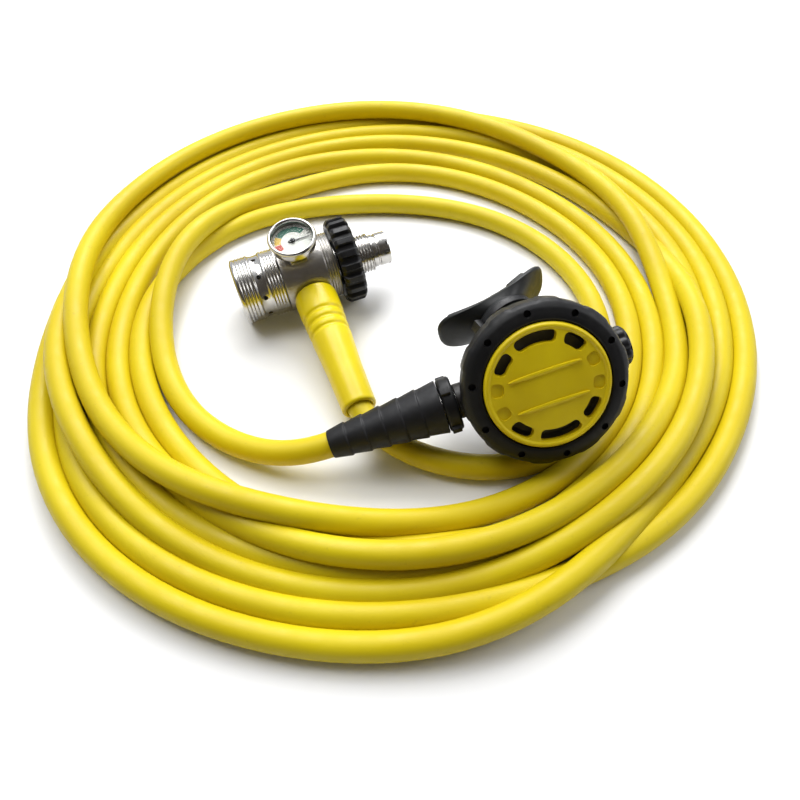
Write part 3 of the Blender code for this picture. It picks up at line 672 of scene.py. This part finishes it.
def build_cap():
    """The piston cap: rings at its end and its joint, and a waist with the ambient holes."""
    outline = [(0, 0.5), (12.4, 0.5), (13, 0), (16.8, 0), (18.5, 0.8), (18.9, 1.6)]
    outline += grooves(2.2, 9.8, 4, 19, 0.45)
    outline += [(19, 10.4), (18.1, 11.3), (17.8, 14), (18.1, 16.7), (19, 17.6)]
    outline += grooves(18.4, 25.4, 4, 19, 0.45)
    outline += [(18.8, 26.1), (15.5, 26.1), (15.5, 3.2), (0, 3.2)]
    cap = turned("cap_shell", soften(outline, 0.25, 2), FIRST, CHROME, "root", ["piston_cap"], 128)
    holes = []
    for k in range(AMBIENT_HOLES):
        angle = 2 * math.pi * (k + 0.4) / AMBIENT_HOLES
        out = Vector((math.cos(angle), math.sin(angle), 0))
        holes.append((rod_shape(1.35, 13, 22), FIRST @ basis(Vector((0, 0, 14)), Vector((0, 0, 1)), out)))
    carve(cap, holes)


def build_first_body():
    """The blasted body with its ring grooves, and the plugs in its two spare ports."""
    outline = [(7, 26.4), (18.6, 26.4), (19, 26.8), (19, 51.4)]
    outline += grooves(51.8, 58.0, 4, 19, 0.55)
    outline += [(18.5, 58.5), (7, 58.5)]
    turned("first_body_shell", soften(outline, 0.3, 2), FIRST, SATIN, "root", ["first_stage_body"], 128)
    for k, degrees in enumerate(PLUG_ANGLES):
        angle = math.radians(degrees)
        out = Vector((math.cos(angle), math.sin(angle), 0))
        place = FIRST @ basis(Vector((0, 0, PORT_Z)), Vector((0, 0, 1)), out)
        outline = soften([(0, 18.5), (6.6, 18.5), (6.6, 21.8), (0, 21.8)], 0.5)
        plug = turned(f"port_plug_head_{k + 1}", outline, place, CHROME, "root", [f"port_plug_{k + 1}"], 48)
        carve(plug, [(turned_shape([(0, 20), (2.5, 20), (2.5, 23), (0, 23)], 6), place)])


def build_din_stem():
    """The DIN stem and its nose, with four notches round the nose's rim."""
    outline = soften([
        (2.6, 58.8), (11.4, 58.8), (11.4, 60.8), (7.6, 60.8), (7.6, 81.5), (9.65, 81.5), (9.65, 84.2),
        (9.1, 84.5), (9.1, 85.3), (9.65, 85.6), (9.65, 92), (8.6, 92), (8.6, 89.6), (6.2, 89.6), (6.2, 92),
        (3.9, 92), (3.9, 84), (2.6, 84)], 0.35, 2)
    nose = turned("din_nose", outline, FIRST, CHROME, "root", ["din_stem"], 80)
    notches = []
    for k in range(4):
        notch = prism_shape([(8.2, -1.1), (11, -1.1), (11, 1.1), (8.2, 1.1)], 90.4, 93)
        notches.append((notch, FIRST @ Matrix.Rotation(math.pi / 2 * k + 0.5, 4, "Z")))
    carve(nose, notches)


def build_handwheel():
    """The DIN wheel, with wide grooves round its rim, and the threaded sleeve that it turns."""
    wheel = FIRST @ Matrix.Translation((0, 0, WHEEL_START))

    def grip(radius, height, angle):
        if radius < GRIP_START:
            return radius
        wave = 0.5 - 0.5 * math.cos(WHEEL_GROOVES * angle)
        depth = min(1.0, max(0.0, (wave - 0.42) / 0.3))
        return radius - GRIP_DEPTH * depth * (radius - GRIP_START) / GRIP_WIDTH

    outline = soften([
        (12.2, 0.2), (13.4, 0.2), (14, 1.4), (19.6, 1.4), (20.4, 0), (23, 0), (25, 1.8), (25, 10.4),
        (23, 12.2), (20.4, 12.2), (19.6, 10.6), (14, 10.6), (13.4, 11.8), (12.2, 11.8)], 0.5)
    turned("handwheel_rim", outline, wheel, PLASTIC, "handwheel", ["din_handwheel"], 320, grip)

    def thread(radius, height, angle):
        if radius < THREAD_RADIUS - 0.05 or not THREAD_START < height < THREAD_END:
            return radius
        phase = (height / THREAD_PITCH - angle / (2 * math.pi)) % 1.0
        run_out = min(1.0, (height - THREAD_START) / 0.9, (THREAD_END - height) / 0.9)
        return THREAD_RADIUS - THREAD_DEPTH * run_out * min(1.0, 1.9 * abs(2 * phase - 1))

    outline = [(7.9, 1.5), (11.9, 1.5), (11.9, 12.2), (THREAD_RADIUS, THREAD_START)]
    outline += [(THREAD_RADIUS, THREAD_START + 0.15 * k) for k in range(1, 60)]
    outline += [(THREAD_RADIUS, THREAD_END), (10.6, 21.8), (7.9, 21.8)]
    turned("din_thread", outline, wheel, CHROME, "handwheel", ["din_thread_sleeve"], 80, thread)


def arc_outline(inner, outer, start, end, parts=24):
    """A curved band between two radii and two angles in degrees."""
    outline = []
    for radius, first, last in ((outer, start, end), (inner, end, start)):
        for k in range(parts + 1):
            angle = math.radians(first + (last - first) * k / parts)
            outline.append((radius * math.cos(angle), radius * math.sin(angle)))
    return outline


def window_outline(inner, outer, middle, half, corner, parts=28):
    """A curved window between two radii, middle and half span in degrees, with round corners."""
    centre, reach = 0.5 * (inner + outer), 0.5 * (outer - inner)
    span = math.radians(half)
    outline = []
    for side in (1, -1):
        for k in range(parts + 1):
            turn = side * span * math.sin(math.pi * (k / parts - 0.5))
            depth = max(0.0, corner - (span - abs(turn)) * centre)
            wide = reach - corner + math.sqrt(max(0.0, corner ** 2 - depth ** 2))
            angle = math.radians(middle) + turn
            radius = centre + side * wide
            outline.append((radius * math.cos(angle), radius * math.sin(angle)))
    return outline


def build_gauge():
    """The button gauge: hexagon, case, bezel, lens, and a dial with zones, ticks and a needle hub."""
    base = bevelled(turned_shape([(0, 19), (9.6, 19), (9.6, 26), (0, 26)], 6), 0.35)
    place_mesh("gauge_hexagon", base, GAUGE, CHROME, "root", ["gauge_base"])
    case = soften([
        (0, 26.1), (9.4, 26.1), (11.4, 26.4), (13.2, 27.8), (13.2, 31.3), (12.2, 31.3), (12.2, 27.2),
        (0, 27.2)], 0.5)
    turned("gauge_shell", case, GAUGE, CHROME, "root", ["gauge_case"])
    bezel = soften([(11.2, 31.2), (13.5, 31.2), (13.7, 32.2), (12.9, 33.6), (12, 33.7), (11.2, 32.4)], 0.4)
    turned("gauge_rim", bezel, GAUGE, CHROME, "root", ["gauge_bezel"])
    lens = soften([(0, 31.1), (11.2, 30.9), (11.2, 31.9), (6, 32.25), (0, 32.4)], 0.3)
    turned("gauge_window", lens, GAUGE, GLASS, "root", ["gauge_lens"])
    plate = soften([(0.9, 28.5), (11.9, 28.5), (11.9, 29), (0.9, 29)], 0.1, 1)
    turned("dial_plate", plate, GAUGE, DIAL, "root", ["gauge_dial"])
    zones = (("green", 35, 142), ("yellow", 144, 178), ("red", 180, 210))
    for colour, start, end in zones:
        band = prism_shape(arc_outline(6.6, 10.2, start, end), 29.0, 29.06)
        place_mesh(f"dial_zone_{colour}", band, GAUGE, INKS[colour], "root")
    ticks = bmesh.new()
    for k in range(28):
        length = 2.0 if k % 3 == 0 else 1.1
        angle = -45 + 10 * k
        half = 0.9 if k % 3 == 0 else 0.5
        tick = prism_shape(arc_outline(11.2 - length, 11.2, angle - half, angle + half, 1), 29.0, 29.1)
        mesh = bpy.data.meshes.new("tick")
        tick.to_mesh(mesh)
        ticks.from_mesh(mesh)
        bpy.data.meshes.remove(mesh)
        tick.free()
    place_mesh("dial_ticks", ticks, GAUGE, INKS["black"], "root")
    hub = soften([(0, 29.76), (1.5, 29.76), (1.5, 30.2), (0.9, 30.5), (0, 30.5)], 0.2)
    turned("needle_hub", hub, GAUGE, PLASTIC, "needle", steps=32)


def build_yellow_boot():
    """The moulded boot over the hose's end: a collar, three shallow grooves, then a long taper."""
    outline = [(8.8, 19.6), (10.9, 19.6), (12.0, 20.6), (12.3, 23.5), (12.2, 34)]
    for k in range(3):
        at = 38 + 6 * k
        wide = 12.0 - 0.3 * k
        outline += [(wide, at - 1.6), (wide - 0.75, at - 0.5), (wide - 0.75, at + 0.7),
                    (wide - 0.1, at + 1.8)]
    outline += [(9.9, 75), (9.3, 96.4), (9.3, 99.4), (8.6, 100.4), (6.8, 100.4), (6.8, 44.6), (8.8, 44.6)]
    turned("yellow_boot_skin", soften(outline, 0.9, 4), PORT, BOOT_YELLOW, "root", ["yellow_boot"])


# ------------------------------------------------------------ second stage


def build_cover_ring():
    """The ring round the purge cover, with grip pads on its edge and holes between them."""

    def pads(radius, height, angle):
        if radius < RING_RADIUS:
            return radius
        wave = math.cos(RING_HOLES * angle)
        rise = min(1.0, max(0.0, (wave - 0.1) / 0.25))
        return radius + 0.6 * rise * min(1.0, radius - RING_RADIUS)

    outline = soften([
        (36.3, -5.2), (37.6, -5.6), (38.4, -4.8), (38.4, 2.6), (37.4, 4.9), (35.4, 6.3), (32.5, 7.0),
        (30.6, 7.2), (29.7, 6.6), (29.6, 1.5), (36.3, 1.5)], 0.7)
    ring = turned("ring_shell", outline, FACE, RING_PLASTIC, "second_stage", ["cover_ring"], 240, pads)
    holes = []
    for k in range(RING_HOLES):
        angle = math.radians(18 + 36 * k)
        spot = Vector((34.2 * math.cos(angle), 34.2 * math.sin(angle), 0))
        holes.append((rod_shape(1.7, 4.2, 9), FACE @ Matrix.Translation(spot)))
    carve(ring, holes)


def build_purge_cover():
    """The yellow cover: a rounded rim, windows in a ring, blind dimples and two tapered ribs."""
    outline = soften([
        (0, 0.6), (6, 0.6), (6, 4.2), (28.4, 4.2), (29.2, 5), (29.2, 7), (28.3, 8.3), (27.2, 8.4),
        (26.4, 7.7), (20, 8.5), (10, 9.2), (0, 9.4)], 0.5)
    cover = turned("cover_shell", outline, FACE, COVER_YELLOW, "cover", ["purge_cover"], 144)
    cuts = []
    for middle, half, floor in COVER_WINDOWS:
        cuts.append((prism_shape(window_outline(20.2, 25.9, middle, half, 2.2), floor, 12), FACE))
    carve(cover, cuts)
    for side in (-1, 1):
        outline = []
        for k in range(24):
            angle = 2 * math.pi * k / 24
            outline.append((17 * math.cos(angle), side * 7.7 + 1.1 * math.sin(angle)))
        rib = bevelled(prism_shape(outline, 8.2, 9.9), 0.3)
        name = "cover_rib_lower" if side < 0 else "cover_rib_upper"
        place_mesh(name, rib, FACE, COVER_YELLOW, "cover")


def build_case():
    """The case behind the ring, its two bosses on the valve's axis, and the mouthpiece's neck."""
    outline = soften([
        (0, -26), (24, -26), (31, -22), (33.4, -17.6), (34.4, -17), (35.2, -13.6), (36, -8), (36, 0),
        (34, 0), (34, -8), (33, -13.7), (29.5, -20.5), (23, -24), (0, -24)], 1.2)
    case = turned("case_shell", outline, FACE, CASE_PLASTIC, "second_stage", ["second_stage_case"], 120)
    bosses = [(soften([(0, 28), (8.6, 28), (8.6, 38.3), (8, 38.5), (0, 38.5)], 0.4), VALVE),
              (soften([(0, -40.2), (8, -40.2), (8.6, -40), (8.6, -28), (0, -28)], 0.4), VALVE)]
    carve(case, [(turned_shape(outline, 64), place) for outline, place in bosses], "UNION")
    neck = soften([
        (25, 0.5), (23.6, 2.2), (24.0, 2.9), (23.3, 3.6), (20.8, 6.6), (21.2, 7.3), (20.4, 8), (17.2, 11.6),
        (14.6, 13.2), (12.4, 13.5), (12.4, 20), (10.6, 20), (10.6, 12), (15, 10.5), (22.5, 0.5)], 0.5)
    turned("case_neck", neck, MOUTH, CASE_PLASTIC, "second_stage")


def build_knob():
    """The adjusting knob, fluted round its grip."""

    def flutes(radius, height, angle):
        if radius < 8.3 or height < 39.2:
            return radius
        return radius - 0.9 * (0.5 + 0.5 * math.cos(9 * angle)) ** 2

    outline = soften([
        (0, 22.5), (3.2, 22.5), (3.2, 38.9), (8.8, 39), (9.7, 39.8), (9.7, 43.4), (8.4, 44.8), (6.2, 45),
        (5.6, 44.4), (0, 44.6)], 0.5)
    turned("knob_grip", outline, VALVE, PLASTIC, "adjuster", ["adjusting_knob"], 108, flutes)


def build_inlet():
    """The collar with its tabs on the second stage, and the stepped boot over the hose's end."""
    outline = soften([
        (6.9, -47.2), (12.4, -47.2), (13.4, -46), (13.4, -41.5), (12.6, -40.5), (6.9, -40.5)], 0.5)
    collar = turned("collar_shell", outline, VALVE, RING_PLASTIC, "second_stage", ["inlet_collar"])
    tabs = []
    for k in range(COLLAR_TABS):
        tab = bevelled(prism_shape([(11, -2.4), (15, -2), (15, 2), (11, 2.4)], -46.6, -42), 0.4)
        tabs.append((tab, VALVE @ Matrix.Rotation(math.pi / 4 + 2 * math.pi * k / COLLAR_TABS, 4, "Z")))
    carve(collar, tabs, "UNION")
    outer = [(10.2, -47.5), (13.3, -47.5)]
    for k in range(BOOT_STEPS):
        low = BLACK_BOOT_START + (BLACK_BOOT_END - BLACK_BOOT_START) * k / BOOT_STEPS
        high = BLACK_BOOT_START + (BLACK_BOOT_END - BLACK_BOOT_START) * (k + 1) / BOOT_STEPS
        wide = 13.3 - 4.7 * k / (BOOT_STEPS - 1)
        if k:
            outer.append((wide, low - 0.2))
        outer.append((wide - 1.6, high + 0.3))
    inner = [(6.8, BLACK_BOOT_END), (6.8, -80.6), (8.3, -80.6), (8.3, -62.6), (10.2, -62.6)]
    turned("black_boot_skin", soften(outer + inner, 0.7, 4), VALVE, RUBBER, "root", ["black_boot"])


def build_exhaust():
    """The exhaust tee under the case: a flat skirt with a hollow chamber."""
    place = FACE @ Matrix.Translation((0, -13, -26))
    outline = [(-22, -13), (-14, -16.5), (14, -16.5), (22, -13), (22, 2), (12, 10.5), (-12, 10.5), (-22, 2)]
    tee = place_mesh("tee_shell", bevelled(prism_shape(outline, -7.8, -0.3), 1.0, 3), place, RUBBER,
                     "second_stage", ["exhaust_tee"])
    chamber = [(-25, -10), (-12, -13.5), (12, -13.5), (25, -10), (25, 0), (10, 0), (10.2, 8.2), (-10.2, 8.2),
               (-10, 0), (-25, 0)]
    carve(tee, [(prism_shape(chamber, -6.2, 1.0), place)])


def build_mouthpiece():
    """The mouthpiece: a tube, a flange with two curled wings and a dip between, and two bite lobes."""
    tube = soften([
        (12.8, 13.8), (14.6, 13.8), (15, 14.4), (14.7, 19.5), (13.6, 21.8), (12.6, 24.5), (12.6, 27),
        (9.5, 27), (9.4, 22), (12.8, 20.4)], 0.6)
    turned("mouth_tube", tube, MOUTH, MOUTH_RUBBER, "second_stage", ["mouthpiece"])
    flange = bmesh.new()
    rings = []
    for row in range(FLANGE_ROWS + 1):
        share = row / FLANGE_ROWS
        ring = []
        for k in range(FLANGE_SIDES):
            angle = 2 * math.pi * k / FLANGE_SIDES
            level, upright = math.cos(angle), math.sin(angle)
            wide = math.copysign(abs(level) ** 0.75, level) * 31
            tall = math.copysign(abs(upright) ** 0.7, upright) * (13.5 + 4.0 * level ** 2)
            x = 12.0 * level * (1 - share) + wide * share
            y = 12.0 * upright * (1 - share) + tall * share
            ring.append(flange.verts.new((x, y, 25.6 + FLANGE_CURL * x * x - 6.0 * (1 - share) ** 2)))
        rings.append(ring)
    for ring, following in zip(rings, rings[1:]):
        for k in range(FLANGE_SIDES):
            t = (k + 1) % FLANGE_SIDES
            flange.faces.new((ring[k], ring[t], following[t], following[k]))
    wing = place_mesh("mouth_flange", flange, MOUTH, MOUTH_RUBBER, "second_stage")
    thick = wing.modifiers.new("thickness", "SOLIDIFY")
    thick.thickness = 2.4 * MM
    thick.offset = 0
    round_off = wing.modifiers.new("rounding", "SUBSURF")
    round_off.levels = 1
    round_off.render_levels = 1
    for side in (-1, 1):
        lobe = prism_shape([(10.5, -5.5), (23, -5.5), (23, 5.5), (10.5, 5.5)], 26, 33.5)
        for vert in lobe.verts:
            vert.co.x *= side
            vert.co.z += FLANGE_CURL * vert.co.x ** 2
        lobe = bevelled(lobe, 2.6, 4)
        name = "bite_lobe_left" if side < 0 else "bite_lobe_right"
        place_mesh(name, lobe, MOUTH, MOUTH_RUBBER, "second_stage")
    strap = soften([(14.9, 15), (16.2, 15), (16.2, 18.4), (14.9, 18.4)], 0.4)
    turned("clamp_strap", strap, MOUTH, PLASTIC, "second_stage", ["mouthpiece_clamp"])
    head = bevelled(prism_shape([(-2.8, -19.2), (2.8, -19.2), (2.8, -15.4), (-2.8, -15.4)], 13.9, 19.5), 0.5)
    place_mesh("clamp_head", head, MOUTH @ Matrix.Rotation(CLAMP_TURN, 4, "Z"), PLASTIC, "second_stage")


def wire_shape(path, radius, sides=10):
    """A round wire that follows path, a list of points."""
    shape = bmesh.new()
    rows = []
    side = Vector((0.13, 0.27, 0.95))
    for k, centre in enumerate(path):
        ahead = (path[min(k + 1, len(path) - 1)] - path[max(k - 1, 0)]).normalized()
        side = (side - ahead * side.dot(ahead)).normalized()
        other = ahead.cross(side)
        row = []
        for s in range(sides):
            angle = 2 * math.pi * s / sides
            reach = side * math.cos(angle) + other * math.sin(angle)
            row.append(shape.verts.new(centre + radius * reach))
        rows.append(row)
    for row, following in zip(rows, rows[1:]):
        for s in range(sides):
            t = (s + 1) % sides
            shape.faces.new((row[s], row[t], following[t], following[s]))
    shape.faces.new(rows[0])
    shape.faces.new(rows[-1])
    return shape


def build_springs():
    """The two springs, of the piston and of the purge cover."""
    path = []
    for k in range(170):
        angle = 2 * math.pi * 3.5 * k / 169
        path.append(Vector((9.5 * math.cos(angle), 9.5 * math.sin(angle), 10.5 + 9.6 * k / 169)))
    main = place_mesh("main_spring_wire", wire_shape(path, 1.1), FIRST, STEEL, "root", ["main_spring"])
    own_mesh(main)
    path = []
    for k in range(121):
        angle = 2 * math.pi * 0.98 * k / 120
        height = 2.8 + 0.6 * math.sin(4 * angle)
        path.append(Vector((27.2 * math.cos(angle), 27.2 * math.sin(angle), height)))
    wave = place_mesh("purge_spring_wire", wire_shape(path, 0.45), FACE, STEEL, "second_stage",
                      ["purge_spring"])
    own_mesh(wave)


# --------------------------------------------------------- carried-over nodes


def dress_nodes():
    """Gives the model's own pieces that stay their finished materials."""
    looks = (
        (BRASS, ("first_stage_piston", "din_filter", "bourdon_tube", "adjusting_screw")),
        (STEEL, ("filter_circlip", "first_hose_ferrule", "poppet_spring", "lever")),
        (CHROME, ("first_hose_fitting", "valve_barrel", "valve_orifice", "swivel_nut",
                  "second_hose_fitting")),
        (RUBBER, ("piston_o_ring", "din_o_ring", "poppet_seat", "knob_o_ring", "swivel_o_ring")),
        (WHITE, ("high_pressure_seat", "diaphragm_plate", "poppet")),
        (SILICONE, ("diaphragm", "exhaust_valve")),
        (INKS["black"], ("gauge_needle",)),
    )
    for material, names in looks:
        for name in names:
            node = frame["nodes"][name]
            for holder in node.material_slots:
                holder.material = material


build_stage()
build_hose()
build_cap()
build_first_body()
build_din_stem()
build_handwheel()
build_gauge()
build_yellow_boot()
build_cover_ring()
build_purge_cover()
build_case()
build_knob()
build_inlet()
build_exhaust()
build_mouthpiece()
build_springs()
dress_nodes()
